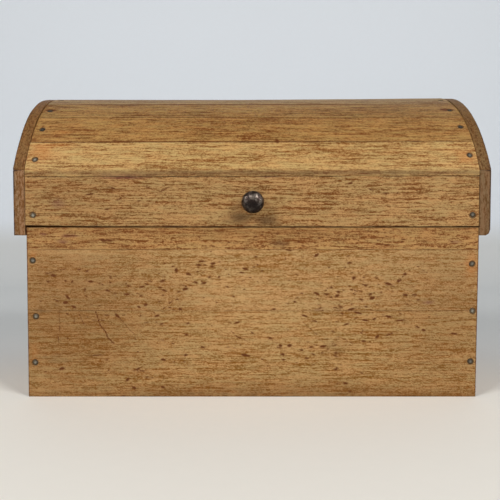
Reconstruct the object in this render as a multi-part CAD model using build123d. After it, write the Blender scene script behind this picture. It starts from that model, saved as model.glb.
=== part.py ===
from build123d import *
import os
from math import cos, radians, sin

os.makedirs("parts", exist_ok=True)

# A dome-topped blanket chest of nailed oak boards. Millimetres, x is the width, y the depth with the
# front at -y, and z is up from the floor under the middle of the base.

# Driving dimensions of the base
base_width = 600.0
depth = 400.0
base_height = 227.0
wall = 16.0
bottom_thickness = 12.0
rebate = 8.0
front_joints = [115.8, 197.6]
back_joints = [128.0]
end_joints = [121.0]
bottom_joints = [-66.0, 58.0]
arris = 0.4

# Driving dimensions of the lid
rim_gap = 1.0
lip_clearance = 1.9
lip_thickness = 14.6
lip_drop = 10.5
lip_proud = 0.8
lip_wear = 2.0
springing = 303.0
rise = 131.0
stave_edge = 13.0
front_board_top = 294.3
back_board_top = 291.0
stave_joints = [36.4, 50.7, 62.6, 80.6, 99.0, 115.5, 131.0, 145.5]
lid_end_thickness = 20.0
lid_end_joint = 322.0

# Driving dimensions of the ironwork
nail_head = 8.0
nail_shank = 2.8
nail_length = 34.0
nail_sink = 0.25
head_gap = 0.2
crown_radius = 16.0
hinge_spacing = 360.0
hinge_length = 70.0
knuckle_count = 5
knuckle_radius = 3.5
knuckle_gap = 0.4
pin_radius = 1.6
pin_head_radius = 2.6
pin_head_length = 1.0
running_fit = 0.05
leaf_thickness = 2.0
leaf_inset = 1.5
hinge_inset = 3.0
stop_chamfer = 3.3
screw_head = 4.8
screw_shank = 2.4
screw_length = 15.0
screw_spacing = 24.0
knob_diameter = 29.8
knob_reach = 25.5
knob_x = 0.8
knob_z = 260.0
shank_radius = 2.5

# Places that follow from the driving dimensions
half_width = base_width / 2
half_depth = depth / 2
inside_y = half_depth - wall
inside_x = half_width - wall
lid_rim = base_height + rim_gap
lid_half = half_width + lip_clearance
lip_bottom = base_height - lip_drop
arch_radius = (half_depth**2 + rise**2) / (2 * rise)
arch_z = springing + rise - arch_radius
inner_radius = arch_radius - stave_edge
lip_radius = arch_radius + lip_proud
lip_half_depth = half_depth + lip_proud
lip_springing = arch_z + (lip_radius**2 - lip_half_depth**2) ** 0.5
hinge_y = half_depth - hinge_inset
hinge_z = base_height + rim_gap / 2

boards = {}
fittings = {}


def block(x0, x1, y0, y1, z0, z1):
    """A plain block between two corners."""
    sizes = (x1 - x0, y1 - y0, z1 - z0)
    return Pos(x0, y0, z0) * Box(*sizes, align=(Align.MIN, Align.MIN, Align.MIN))


def board(*corners):
    """A sawn board: a block with its arrises just taken off."""
    blank = block(*corners)
    return chamfer(blank.edges(), arris)


def along_x(section, x0, x1):
    """Pushes a section that is drawn in y and z along the width, from x0 to x1."""
    return extrude(Plane.YZ.offset(x0) * make_face(section), amount=x1 - x0)


def on_arch(angle, radius):
    """The point of the lid's section at that angle up from the front and distance from its centre."""
    return (-radius * cos(radians(angle)), arch_z + radius * sin(radians(angle)))


def arch_arc(start, end, radius):
    """The stretch of the arch between two angles."""
    middle = (start + end) / 2
    return ThreePointArc(on_arch(start, radius), on_arch(middle, radius), on_arch(end, radius))


def group(solids):
    """Alike pieces kept together as separate solids."""
    return Compound(children=list(solids))


def cut_from(names, tools):
    """Takes the tools out of each named board."""
    for name in names:
        boards[name] = boards[name] - tools


# Base: four walls of edge-joined boards, the front and back lapping over the ends, on a rebated bottom
def stack(name, labels, joints, x0, x1, y0, y1):
    """Edge-joined boards one above the other, from the floor to the rim of the base."""
    levels = [0.0, *joints, base_height]
    made = []
    for label, low, high in zip(labels, levels, levels[1:]):
        boards[f"{name}_{label}"] = board(x0, x1, y0, y1, low, high)
        made.append(f"{name}_{label}")
    return made


front_boards = stack("front_board", ["bottom", "middle", "top"], front_joints,
                     -half_width, half_width, -half_depth, -inside_y)
back_boards = stack("back_board", ["bottom", "top"], back_joints,
                    -half_width, half_width, inside_y, half_depth)
left_boards = stack("left_end_board", ["bottom", "top"], end_joints,
                    -half_width, -inside_x, -inside_y, inside_y)
right_boards = stack("right_end_board", ["bottom", "top"], end_joints,
                     inside_x, half_width, -inside_y, inside_y)
base_walls = front_boards + back_boards + left_boards + right_boards

bottom_x = half_width - rebate
bottom_y = half_depth - rebate
bottom_edges = [-bottom_y, *bottom_joints, bottom_y]
bottom_boards = ["bottom_board_front", "bottom_board_middle", "bottom_board_back"]
for name, front, back in zip(bottom_boards, bottom_edges, bottom_edges[1:]):
    boards[name] = board(-bottom_x, bottom_x, front, back, 0, bottom_thickness)
cut_from(base_walls, block(-bottom_x, bottom_x, -bottom_y, bottom_y, 0, bottom_thickness))


# Lid: an upright board at the front and back, and nine staves rounded outside between them
boards["lid_front_board"] = board(-lid_half, lid_half, -half_depth, -inside_y, lid_rim, front_board_top)
boards["lid_back_board"] = board(-lid_half, lid_half, inside_y, half_depth, lid_rim, back_board_top)


def first_stave_section(side, board_top, joint):
    """The stave on an upright board: its foot is upright too, up to where the arch springs."""
    foot = side * half_depth
    spring_angle = 90.0 + side * (90.0 - start_angle)
    outside = Line((foot, board_top), (foot, springing)) + arch_arc(spring_angle, joint, arch_radius)
    inside = Polyline(on_arch(joint, arch_radius), on_arch(joint, inner_radius),
                      (side * inside_y, board_top), (foot, board_top))
    return outside + inside


def stave_section(start, end):
    """A stave between two joints: round outside, flat inside, with edges that point to the centre."""
    sides = Polyline(on_arch(end, arch_radius), on_arch(end, inner_radius),
                     on_arch(start, inner_radius), on_arch(start, arch_radius))
    return arch_arc(start, end, arch_radius) + sides


start_angle = Vector(1, 0).get_angle(Vector(half_depth, springing - arch_z))
stave_sections = [first_stave_section(-1, front_board_top, stave_joints[0])]
stave_sections += [stave_section(*pair) for pair in zip(stave_joints, stave_joints[1:])]
stave_sections += [first_stave_section(1, back_board_top, stave_joints[-1])]
staves = []
for number, section in enumerate(stave_sections, start=1):
    blank = along_x(section, -lid_half, lid_half)
    boards[f"stave_{number}"] = chamfer(blank.edges().filter_by(Axis.X), arris)
    staves.append(f"stave_{number}")


# Lid ends: an inner end that the staves are nailed to, and a lip outside it that hangs past the rim
inner_outline = [(-inside_y, lid_rim), (-inside_y, front_board_top)]
inner_outline += [on_arch(angle, inner_radius) for angle in stave_joints]
inner_outline += [(inside_y, back_board_top), (inside_y, lid_rim)]
lip_start = Vector(1, 0).get_angle(Vector(lip_half_depth, lip_springing - arch_z))
lip_arch = arch_arc(lip_start, 180.0 - lip_start, lip_radius)
lip_chord = Line((lip_half_depth, lip_springing), (-lip_half_depth, lip_springing))

for side, sign in (("left", -1), ("right", 1)):
    inner_face = sign * (lid_half - lid_end_thickness)
    outer_face = sign * (lid_half + lip_thickness)
    x0, x1 = sorted((inner_face, sign * lid_half))
    lid_end = along_x(Polyline(*inner_outline, close=True), x0, x1)
    below_joint = block(x0, x1, -half_depth, half_depth, lid_rim, lid_end_joint)
    boards[f"{side}_lid_end_bottom"] = lid_end & below_joint
    boards[f"{side}_lid_end_top"] = lid_end - below_joint

    x0, x1 = sorted((sign * lid_half, outer_face))
    lip = board(x0, x1, -lip_half_depth, lip_half_depth, lip_bottom, lip_springing)
    if side == "right":
        worn = block(-lip_wear, lip_wear, -depth, depth, -lip_wear, lip_wear)
        lip = lip - Pos(x1, 0, lip_bottom) * Rot(0, 45, 0) * worn
    boards[f"{side}_lip_bottom"] = lip
    boards[f"{side}_lip_top"] = along_x(lip_chord + lip_arch, x0, x1)


# Nails: round heads just below the surface, each in a hole with a hair of room round its head
def make_nail():
    """A nail along z, with the top of its head at zero and its point below."""
    head_radius, shank_side = nail_head / 2, nail_shank / 2
    head_edge, head_back, taper = -0.5, -1.3, 5.0
    crown = RadiusArc((0, 0), (head_radius, head_edge), crown_radius)
    rest = Polyline((head_radius, head_edge), (head_radius, head_back), (shank_side, head_back),
                    (shank_side, taper - nail_length), (0, -nail_length), (0, 0))
    mouth = Cylinder(head_radius + head_gap, nail_head, align=(Align.CENTER, Align.CENTER, Align.MIN))
    solid = revolve(make_face(Plane.XZ * (crown + rest)), Axis.Z)
    return solid, solid + Pos(0, 0, head_back) * mouth


nail, nail_hole = make_nail()


def drive(name, places, into):
    """Drives a nail at each place, and makes its hole in each board that it passes."""
    fittings[name] = group(place * nail for place in places)
    cut_from(into, [place * nail_hole for place in places])


def facing(angle):
    """Turns a nail's head outward at that angle up from the front: 0 is the front and 180 the back."""
    return Rot(90.0 - angle, 0, 0)


# The front nails as they stand in the old boards: inset from the end of the board, then height
left_front_nails = [(7.4, 183.0), (10.8, 108.2), (9.0, 46.2)]
right_front_nails = [(8.4, 178.6), (6.5, 115.5), (7.9, 47.5)]
back_nail_heights = [44.0, 110.0, 187.0]
nail_face = half_depth - nail_sink
front_places = [Pos(-half_width + inset, -nail_face, z) * facing(0) for inset, z in left_front_nails]
front_places += [Pos(half_width - inset, -nail_face, z) * facing(0) for inset, z in right_front_nails]
back_places = [Pos(side * (half_width - wall / 2), nail_face, z) * facing(180)
               for side in (-1, 1) for z in back_nail_heights]
drive("base_front_nails", front_places, front_boards + left_boards + right_boards)
drive("base_back_nails", back_places, back_boards + left_boards + right_boards)

ledge = rebate / 2
end_nail_rows = [-150.0, -95.0, -25.0, 25.0, 95.0, 150.0]
long_nail_rows = [-220.0, -75.0, 75.0, 220.0]
bottom_places = [Pos(side * (bottom_x - ledge), y, nail_sink) * Rot(180, 0, 0)
                 for side in (-1, 1) for y in end_nail_rows]
bottom_places += [Pos(x, side * (bottom_y - ledge), nail_sink) * Rot(180, 0, 0)
                  for side in (-1, 1) for x in long_nail_rows]
drive("bottom_nails", bottom_places, base_walls + bottom_boards)

# Each stave's left nail and its right one: the angle, then how far it stands in from the lip
front_stave_nails = [((28.2, 11.6), (29.9, 9.8)), ((43.4, 11.1), (44.4, 10.1)),
                     ((56.5, 10.6), (56.4, 12.6)), ((71.3, 10.0), (71.3, 10.5))]
back_stave_nails = [((89.8, 10.0), (90.1, 9.0)), ((107.3, 9.5), (107.0, 10.5)),
                    ((123.3, 10.0), (123.5, 10.0)), ((138.3, 9.5), (138.0, 11.0)),
                    ((151.0, 10.5), (151.2, 9.5))]
board_nail_inset = (10.4, 9.1)
board_nail_height = 243.0


def stave_places(rows):
    """The two nails of each stave, square to the arch."""
    places = []
    for row in rows:
        for side, (angle, inset) in zip((-1, 1), row):
            y, z = on_arch(angle, arch_radius - nail_sink)
            places.append(Pos(side * (lid_half - inset), y, z) * facing(angle))
    return places


left_inset, right_inset = board_nail_inset
board_nail_x = (left_inset - lid_half, lid_half - right_inset)
lid_front_places = [Pos(x, -nail_face, board_nail_height) * facing(0) for x in board_nail_x]
lid_back_places = [Pos(x, nail_face, board_nail_height) * facing(180) for x in board_nail_x]
lid_ends = [f"{side}_lid_end_{part}" for side in ("left", "right") for part in ("bottom", "top")]
drive("lid_front_nails", lid_front_places + stave_places(front_stave_nails),
      ["lid_front_board", *staves, *lid_ends])
drive("lid_back_nails", lid_back_places + stave_places(back_stave_nails),
      ["lid_back_board", *staves, *lid_ends])

# Lip nails: three along the straight part and three round the arch, as distance back and height
lip_nails = [(-165.0, 262.0), (0.0, 258.0), (162.0, 264.0), (-118.0, 356.0), (4.0, 404.0), (122.0, 352.0)]
for side, sign in (("left", -1), ("right", 1)):
    lip_face = sign * (lid_half + lip_thickness - nail_sink)
    places = [Pos(lip_face, y, z) * Rot(0, sign * 90, 0) for y, z in lip_nails]
    ends = [f"{side}_{part}" for part in ("lip_bottom", "lip_top", "lid_end_bottom", "lid_end_top")]
    drive(f"{side}_lip_nails", places, ends)


# Hinges: two butt hinges in the back edge, whose knuckles lie between two chamfers that stop the lid
stop_section = Polyline((hinge_y, base_height), (half_depth, base_height - stop_chamfer),
                        (depth, base_height - stop_chamfer), (depth, lid_rim + stop_chamfer),
                        (half_depth, lid_rim + stop_chamfer), (hinge_y, lid_rim), close=True)
stop_groove = along_x(stop_section, -base_width, base_width)
cut_from(["back_board_top", "lid_back_board"], stop_groove)

knuckle_length = hinge_length / knuckle_count
knuckle_room = knuckle_radius + knuckle_gap
leaf_front = inside_y + leaf_inset
leaf_back = hinge_y - knuckle_room
screw_y = (leaf_front + leaf_back) / 2


def rod(radius, length):
    """A round rod along the hinge's axis, centred on the hinge."""
    return Pos(0, hinge_y, hinge_z) * Rot(0, 90, 0) * Cylinder(radius, length)


def make_screw():
    """A slotted countersunk screw along z, with its flat head at zero and its point below."""
    cone, taper, slot_width, slot_depth = 1.3, 4.0, 0.9, 0.7
    section = Polyline((0, 0), (screw_head / 2, 0), (screw_shank / 2, -cone),
                       (screw_shank / 2, taper - screw_length), (0, -screw_length), close=True)
    solid = revolve(make_face(Plane.XZ * section), Axis.Z)
    return solid, solid - Pos(0, 0, -slot_depth / 2) * Box(screw_head, slot_width, slot_depth)


screw_blank, screw = make_screw()


def hinge_leaf(low, high, own, pin_room):
    """A leaf between two heights, with its own share of the knuckles, for a hinge centred at x = 0."""
    half = hinge_length / 2
    leaf = block(-half, half, leaf_front, leaf_back, low, high)
    for number in own:
        start = number * knuckle_length - half + knuckle_gap / 2
        end = start + knuckle_length - knuckle_gap
        knuckle = Pos((start + end) / 2, 0, 0) * rod(knuckle_radius, end - start)
        leaf = leaf + knuckle + block(start, end, leaf_back, hinge_y, low, high)
    return leaf - rod(pin_radius + pin_room, 2 * hinge_length)


def screw_places(face, turn):
    """The three screws of a leaf, from its face into the wood."""
    return [Pos(x, screw_y, face) * turn for x in (-screw_spacing, 0, screw_spacing)]


base_mortise = block(-hinge_length / 2, hinge_length / 2, leaf_front, hinge_y,
                     base_height - leaf_thickness, base_height)
lid_mortise = Pos(0, 0, leaf_thickness + rim_gap) * base_mortise
pin = rod(pin_radius, hinge_length)
pin_head_x = (hinge_length + pin_head_length) / 2
for end in (-1, 1):
    pin = pin + Pos(end * pin_head_x, 0, 0) * rod(pin_head_radius, pin_head_length)
barrel_room = rod(knuckle_room, hinge_length + 2 * (pin_head_length + rim_gap))
base_knuckles = range(0, knuckle_count, 2)
lid_knuckles = range(1, knuckle_count, 2)
base_leaf = hinge_leaf(base_height - leaf_thickness, base_height, base_knuckles, 0.0)
lid_leaf = hinge_leaf(lid_rim, lid_rim + leaf_thickness, lid_knuckles, running_fit)
base_screws = screw_places(base_height, Rot(0, 0, 0))
lid_screws = screw_places(lid_rim, Rot(180, 0, 0))

for side, sign in (("left", -1), ("right", 1)):
    here = Pos(sign * hinge_spacing / 2, 0, 0)
    base_blanks = [place * screw_blank for place in base_screws]
    lid_blanks = [place * screw_blank for place in lid_screws]
    cut_from(["back_board_top"], [here * tool for tool in (base_mortise, barrel_room, *base_blanks)])
    cut_from(["lid_back_board"], [here * tool for tool in (lid_mortise, barrel_room, *lid_blanks)])
    fittings[f"{side}_hinge_base_leaf"] = here * (base_leaf - base_blanks)
    fittings[f"{side}_hinge_lid_leaf"] = here * (lid_leaf - lid_blanks)
    fittings[f"{side}_hinge_pin"] = here * pin
    fittings[f"{side}_hinge_base_screws"] = group(here * place * screw for place in base_screws)
    fittings[f"{side}_hinge_lid_screws"] = group(here * place * screw for place in lid_screws)


# Knob: a turned knob on the lid's front board, on a shank with a washer and a square nut inside
outward = Pos(knob_x, -half_depth, knob_z) * facing(0)
knob_radius = knob_diameter / 2
foot_radius, foot_height = 8.5, 1.6
waist_radius, waist_height = 6.3, 3.4
neck_radius, neck_height = 5.8, 6.0
widest_height = 14.0
shank_depth, shank_end = 11.0, 7.0
washer_radius, washer_thickness = 7.5, 1.2
nut_width, nut_height = 9.5, 4.0

foot = Polyline((0, 0), (foot_radius, 0), (foot_radius, foot_height))
waist = ThreePointArc((foot_radius, foot_height), (waist_radius, waist_height), (neck_radius, neck_height))
underside = Spline((neck_radius, neck_height), (knob_radius, widest_height), tangents=((1, 0.1), (0, 1)))
front = Spline((knob_radius, widest_height), (0, knob_reach), tangents=((0, 1), (-1, 0)))
middle = Line((0, knob_reach), (0, 0))
knob_outline = foot + waist + underside + front + middle
knob_solid = revolve(make_face(Plane.XZ * knob_outline), Axis.Z)


def disc(radius, low, high):
    """A round disc between two distances out from the lid's front."""
    return Pos(0, 0, (low + high) / 2) * Cylinder(radius, high - low)


shank = disc(shank_radius, -wall - shank_end, shank_depth)
washer = disc(washer_radius, -wall - washer_thickness, -wall) - shank
nut_level = -wall - washer_thickness - nut_height / 2
nut = chamfer(Box(nut_width, nut_width, nut_height).edges(), arris)
fittings["knob"] = outward * (knob_solid - shank)
fittings["knob_shank"] = outward * shank
fittings["knob_washer"] = outward * washer
fittings["knob_nut"] = outward * (Pos(0, 0, nut_level) * nut - shank)
cut_from(["lid_front_board"], [outward * shank])

for name, piece in {**boards, **fittings}.items():
    piece.label = name
    export_step(piece, f"parts/{name}.step")
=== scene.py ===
from math import atan2, cos, pi, radians, sin

import bpy
import numpy as np
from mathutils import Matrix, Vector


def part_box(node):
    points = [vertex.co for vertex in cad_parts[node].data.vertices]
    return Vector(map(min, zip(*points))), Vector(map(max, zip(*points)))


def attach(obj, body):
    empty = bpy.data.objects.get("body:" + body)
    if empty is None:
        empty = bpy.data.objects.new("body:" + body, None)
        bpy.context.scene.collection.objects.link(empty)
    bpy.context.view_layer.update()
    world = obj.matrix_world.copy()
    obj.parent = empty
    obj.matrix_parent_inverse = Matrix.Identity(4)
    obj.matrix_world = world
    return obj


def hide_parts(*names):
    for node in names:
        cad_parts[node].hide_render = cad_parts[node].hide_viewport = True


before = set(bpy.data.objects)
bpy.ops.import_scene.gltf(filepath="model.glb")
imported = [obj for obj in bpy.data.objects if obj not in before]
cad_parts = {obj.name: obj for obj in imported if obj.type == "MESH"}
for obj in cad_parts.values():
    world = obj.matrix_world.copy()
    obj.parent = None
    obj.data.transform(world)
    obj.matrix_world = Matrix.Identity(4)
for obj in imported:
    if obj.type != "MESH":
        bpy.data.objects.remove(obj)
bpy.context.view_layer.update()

# A dome-topped blanket chest of nailed oak boards, put together from the floor up. Metres, x is the width,
# y the depth with the front at -y, and z is up from the floor.


# The front of the base is three wide oak boards, edge-joined and rubbed down by a long life, with their grain
# lying across. Each was sawn, planed and waxed, and has soft uneven arrises.
front_low, front_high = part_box("front_board_bottom")
half_width = front_high.x
front_face = front_low.y
wall = front_high.y - front_low.y


def unit(vector):
    """A vector divided by its length."""
    return np.asarray(vector, float) / np.linalg.norm(vector)


def crowded(length, spacing, places, reach=0.0065, fine=0.0007):
    """Grid lines along a length. Their density is 1/spacing, and grows by 1/fine within reach of each place:
    the lines are the even divisions of the density's running sum."""
    probe = np.linspace(0.0, length, 3000)
    density = np.full(probe.size, 1.0 / spacing)
    for place in places:
        density += np.exp(-(((probe - place) / reach) ** 4)) / fine
    total = np.append(0.0, np.cumsum(density[1:] * np.diff(probe)))
    return np.interp(np.linspace(0.0, total[-1], int(total[-1]) + 2), total, probe)


def rolling(u, v, seed, waves=(0.23, 0.11, 0.06, 0.034)):
    """Soft hills from 0 to 1 over a face: a sum of one sine for each wavelength, each in its own direction,
    with its height in proportion to its wavelength."""
    rng = np.random.default_rng(seed)
    height = np.zeros(np.broadcast(u, v).shape)
    for wave in waves:
        turn, start = rng.uniform(0, pi), rng.uniform(0, 2 * pi)
        height = height + wave * np.sin(2 * pi * (u * cos(turn) + v * sin(turn)) / wave + start)
    return 0.5 + 0.5 * height / sum(waves)


def closed_section(runs, arris):
    """The outline of a board's end, from runs of points that meet at its four corners. Each corner is cut
    by the quadratic curve of three points: arris before it, the corner, and arris after it. Gives the
    points, and how far round a corner each is, from 0 to 1 at the middle of the curve."""
    t = np.linspace(0.0, 1.0, 5)[:, None]
    clear_of_curve = 1.02 * arris
    points, round_corner = [], []
    for run, following in zip(runs, runs[1:] + runs[:1]):
        far = np.minimum(np.linalg.norm(run - run[0], axis=1), np.linalg.norm(run - run[-1], axis=1))
        kept = run[far > clear_of_curve]
        corner = run[-1]
        before = corner + arris * unit(run[-2] - corner)
        after = corner + arris * unit(following[1] - corner)
        points += [kept, before * (1 - t) ** 2 + 2 * t * (1 - t) * corner + after * t**2]
        round_corner += [np.zeros(len(kept)), (4 * t * (1 - t)).ravel()]
    return np.concatenate(points), np.concatenate(round_corner)


def placed(name, data):
    """An object in the scene that holds a mesh, a lamp or a camera."""
    thing = bpy.data.objects.new(name, data)
    bpy.context.scene.collection.objects.link(thing)
    return thing


def skin(name, grids, layers=None):
    """Makes one closed mesh of grids of points. A grid's rows are closed rings, joined row to row by
    four-sided faces, with one flat face on its first and its last ring. The faces are turned outward by the
    sign of the volume that they enclose. Each layer is a number on every point, kept as a named
    attribute."""
    faces, start = [], 0
    for grid in grids:
        rows, count = grid.shape[:2]
        index = np.arange(rows * count).reshape(rows, count)
        aside = np.roll(index, -1, axis=1)
        quads = np.stack([index[:-1], aside[:-1], aside[1:], index[1:]], axis=-1).reshape(-1, 4)
        a, b, c, d = (grid.reshape(-1, 3) - grid.reshape(-1, 3).mean(0))[quads].transpose(1, 0, 2)
        volume = np.sum(a * np.cross(b, c)) + np.sum(a * np.cross(c, d))
        ends = [index[0][::-1], index[-1]]
        if volume < 0:
            quads, ends = quads[:, ::-1], [end[::-1] for end in ends]
        faces += (quads + start).tolist() + [(end + start).tolist() for end in ends]
        start += rows * count
    mesh = bpy.data.meshes.new(name)
    mesh.from_pydata(np.concatenate([grid.reshape(-1, 3) for grid in grids]), [], faces)
    for layer, values in (layers or {}).items():
        attribute = mesh.attributes.new(layer, "FLOAT", "POINT")
        attribute.data.foreach_set("value", np.ravel(values).astype(np.float32))
    mesh.shade_smooth()
    return placed(name, mesh)


def spots(grid, places):
    """How strongly each point lies in any of some spots on an upright face. Each is the middle's x and z,
    the length, the width, the turn up from x in degrees, and the strength there, in millimetres. A spot
    dies away as exp of minus the square of the distance from its middle in half lengths and half widths."""
    margin = 2
    x, z = grid[..., 0].ravel() * 1000, grid[..., 2].ravel() * 1000
    strength = np.zeros(x.size)
    for spot_x, spot_z, length, width, turn, most in places:
        c, s = cos(radians(turn)), sin(radians(turn))
        reach_x = max(width, length * abs(c)) + margin
        reach_z = max(width, length * abs(s)) + margin
        near = np.flatnonzero((np.abs(x - spot_x) < reach_x) & (np.abs(z - spot_z) < reach_z))
        away_x, away_z = x[near] - spot_x, z[near] - spot_z
        along, over = (away_x * c + away_z * s) * 2 / length, (away_z * c - away_x * s) * 2 / width
        strength[near] = np.maximum(strength[near], most * np.exp(-(along**2) - over**2))
    return strength.reshape(grid.shape[:2])


def flecks(middles, turn, length=6.8, width=3.1, strength=1.05, seed=1):
    """Spots round some middles. Each has a size within a third of the given one, a turn within 24 degrees of
    it, and half to six fifths of the strength."""
    rng = np.random.default_rng(seed)
    return [(x, z, length * rng.uniform(0.7, 1.3), width * rng.uniform(0.75, 1.25),
             turn + rng.uniform(-24, 24), strength * rng.uniform(0.5, 1.2)) for x, z in middles]


def swarm(x, z, spread_x, spread_z, count, seed):
    """Middles of small flecks, thrown about a place by the bell curve."""
    rng = np.random.default_rng(seed)
    return list(zip(rng.normal(x, spread_x, count), rng.normal(z, spread_z, count)))


def streak(points, width=1.7, strength=0.8):
    """Spots in a row, along a line from point to point, about one to each step of the way."""
    step, spot_length = 3, 5.0
    row = []
    for (x0, z0), (x1, z1) in zip(points, points[1:]):
        length, turn = np.hypot(x1 - x0, z1 - z0), np.degrees(atan2(z1 - z0, x1 - x0))
        count = max(1, round(length / step))
        for share in (np.arange(count) + 0.5) / count:
            row.append((x0 + share * (x1 - x0), z0 + share * (z1 - z0), spot_length, width, turn, strength))
    return row


hole_radius, hole_lip, hole_depth = 0.00394, 0.0045, 0.0009
dish_radius, dish_depth = 0.0085, 0.0003
no_nails = np.zeros((0, 2, 3))


def plank(name, face, back, ends, nails=no_nails, spacing=0.006, arris=0.0009, seed=1, along="x", shape=None,
          **stains):
    """A board whose section is carried along its grain. The section's face and back are given as points in
    the plane across the grain. A point's place is its section's point, drawn in towards the middle by a
    quarter circle of radius arris at each end and by flat rings on the ends. Hollows up to hollow_depth
    roll over the face, the arrises are knocked in, and each nail has a round hole in a shallow dish. Points
    lie spacing apart across the grain and a third further along it, and crowd round the nails. Layers: edge
    and end are 1 on the arrises and the ends, pit is 1 round a nail, and each stain, painted shade among
    them, is a list of spots."""
    beside_arris, beside_crease, edge_reach = 0.0004, 0.0005, 0.0016
    grain = 0 if along == "x" else 1
    steps = np.append(0.0, np.cumsum(np.linalg.norm(np.diff(face, axis=0), axis=1)))
    across = np.delete(nails[:, 0], grain, axis=1)
    gaps = np.linalg.norm(face[None] - across[:, None], axis=2)
    near = (gaps.min(axis=1) < hole_lip) if len(nails) else np.zeros(0, bool)
    nails, gaps = nails[near], gaps[near]
    lines = crowded(steps[-1], spacing, [steps[row.argmin()] for row in gaps])
    turned = np.linalg.norm(np.diff(np.diff(face, axis=0) / np.diff(steps)[:, None], axis=0), axis=1)
    creases = steps[1:-1][turned > 0.1]
    held = np.concatenate([[arris + beside_arris, steps[-1] - arris - beside_arris],
                           creases - beside_crease, creases, creases + beside_crease])
    lines = np.sort(np.append(lines, held))
    front = np.stack([np.interp(lines, steps, face[:, side]) for side in (0, 1)], axis=1)
    edge_up = np.linspace(face[-1], back[0], 6)
    edge_down = np.linspace(back[-1], face[0], 6)
    rear = np.concatenate([np.linspace(a, b, 8) for a, b in zip(back, back[1:])])
    ring, round_corner = closed_section([front, edge_up, rear, edge_down], arris)

    low, high = ends
    length = high - low
    level = crowded(length - 2 * arris, 1.35 * spacing, nails[:, 0, grain] - low - arris) + low + arris
    level = np.sort(np.append(level, [low + arris + beside_arris, high - arris - beside_arris]))
    turn = np.linspace(0.0, pi / 2, 4)[1:]
    end_rings = np.array([0.0006, 0.002, 0.004])
    inset = np.concatenate([arris * (1 - np.cos(turn)), arris + end_rings])
    outward = np.concatenate([arris * np.sin(turn), np.full(len(end_rings), arris)])
    level = np.concatenate([(low + arris - outward)[::-1], level, high - arris + outward])
    inset = np.concatenate([inset[::-1], np.zeros(len(level) - 2 * len(inset)), inset])
    on_end = np.clip((inset - 0.6 * arris) / (0.4 * arris), 0.0, 1.0)

    up = unit(face[-1] - face[0])
    out = np.array([-up[1], up[0]])
    if (face.mean(0) - np.mean(back, axis=0)) @ out < 0:
        out = -out
    middle = (ring.max(0) + ring.min(0)) / 2
    local = np.stack([(ring - middle) @ up, (ring - middle) @ out], axis=1)
    half = np.abs(local).max(0)
    local = local[None] * (1 - inset[:, None, None] / half)
    flat = middle + local[..., :1] * up + local[..., 1:] * out

    hollow_depth, knock_depth, knock_waves = 0.00035, 0.0022, (0.07, 0.031, 0.017, 0.009)
    hollow = hollow_depth * rolling(level[:, None], local[..., 0], seed)
    facing = (local[..., 1] + half[1]) / (2 * half[1])
    flat = flat - (hollow * facing)[..., None] * out
    knock = np.clip(rolling(level[:, None], local[..., 0], seed + 50, knock_waves) - 0.55, 0, 1)
    inward = -local / np.linalg.norm(local, axis=-1, keepdims=True)
    inward = inward[..., :1] * up + inward[..., 1:] * out
    flat = flat + (knock_depth * knock * round_corner * (on_end < 1)[:, None])[..., None] * inward

    columns = [flat[..., 0], flat[..., 1]]
    columns.insert(grain, np.broadcast_to(level[:, None], flat.shape[:2]))
    grid = np.stack(columns, axis=-1)
    pit = np.zeros(grid.shape[:2])
    far_from_head, dirt_reach, dirt_fade = 0.006, 0.0008, 0.0012
    for head, axis in nails:
        away = grid - head
        height = away @ axis
        radius = np.linalg.norm(away - height[..., None] * axis, axis=-1)
        radius = np.where(np.abs(height) < far_from_head, radius, 1.0)
        wall_in = np.clip((hole_lip - radius) / (hole_lip - hole_radius), 0, 1)
        depth = hole_depth * wall_in**2 * (3 - 2 * wall_in)
        depth = depth + dish_depth * np.clip(1 - (radius / dish_radius) ** 2, 0, 1)
        grid = grid - depth[..., None] * axis
        pit = np.maximum(pit, np.clip((hole_lip + dirt_reach - radius) / dirt_fade, 0, 1))

    from_side = np.minimum(np.linalg.norm(ring - face[0], axis=1), np.linalg.norm(ring - face[-1], axis=1))
    from_end = np.minimum(level - low, high - level)
    edge = np.maximum(np.exp(-from_side / edge_reach)[None], np.exp(-from_end / edge_reach)[:, None])
    edge = edge * np.exp(-np.maximum(inset - arris, 0) / edge_reach)[:, None]
    edge = edge * (0.3 + 0.7 * np.clip(facing, 0, 1))
    layers = {"edge": edge, "end": np.broadcast_to(on_end[:, None], pit.shape), "pit": pit}
    for layer, places in stains.items():
        layers[layer] = spots(grid, places)
    return skin(name, [shape(grid) if shape else grid], layers)


def node_points(node):
    """The points of a CAD node's mesh."""
    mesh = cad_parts[node].data
    points = np.zeros(len(mesh.vertices) * 3, np.float32)
    mesh.vertices.foreach_get("co", points)
    return points.reshape(-1, 3)


def crowns(node, reach):
    """The nails of a CAD node, as pairs of a point and a direction: the tops of their heads, which are
    where the node reaches furthest out, and the way out there. reach gives each point's reach and the way
    out. A head has several top points, so those within one_head of each other make one nail, at their
    mean."""
    one_head, level_with_top = 0.004, 0.00002
    points = node_points(node).astype(float)
    far, way = reach(points)
    top = far > far.max() - level_with_top
    tops, ways = points[top], way[top]
    found = []
    while len(tops):
        same = np.linalg.norm(tops - tops[0], axis=1) < one_head
        found.append([tops[same].mean(0), unit(ways[same].mean(0))])
        tops, ways = tops[~same], ways[~same]
    return np.array(found)


def reach_along(axis, sign):
    """Reach measured along one axis: 0 is x, 1 is y, 2 is z."""
    def reach(points):
        way = np.zeros_like(points)
        way[:, axis] = sign
        return points[:, axis] * sign, way
    return reach


def paint(red, green, blue):
    """A colour given as it shows on screen, 0 to 255, in Blender's linear numbers."""
    share = np.array([red, green, blue]) / 255
    return (*np.where(share < 0.04045, share / 12.92, ((share + 0.055) / 1.055) ** 2.4), 1.0)


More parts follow.
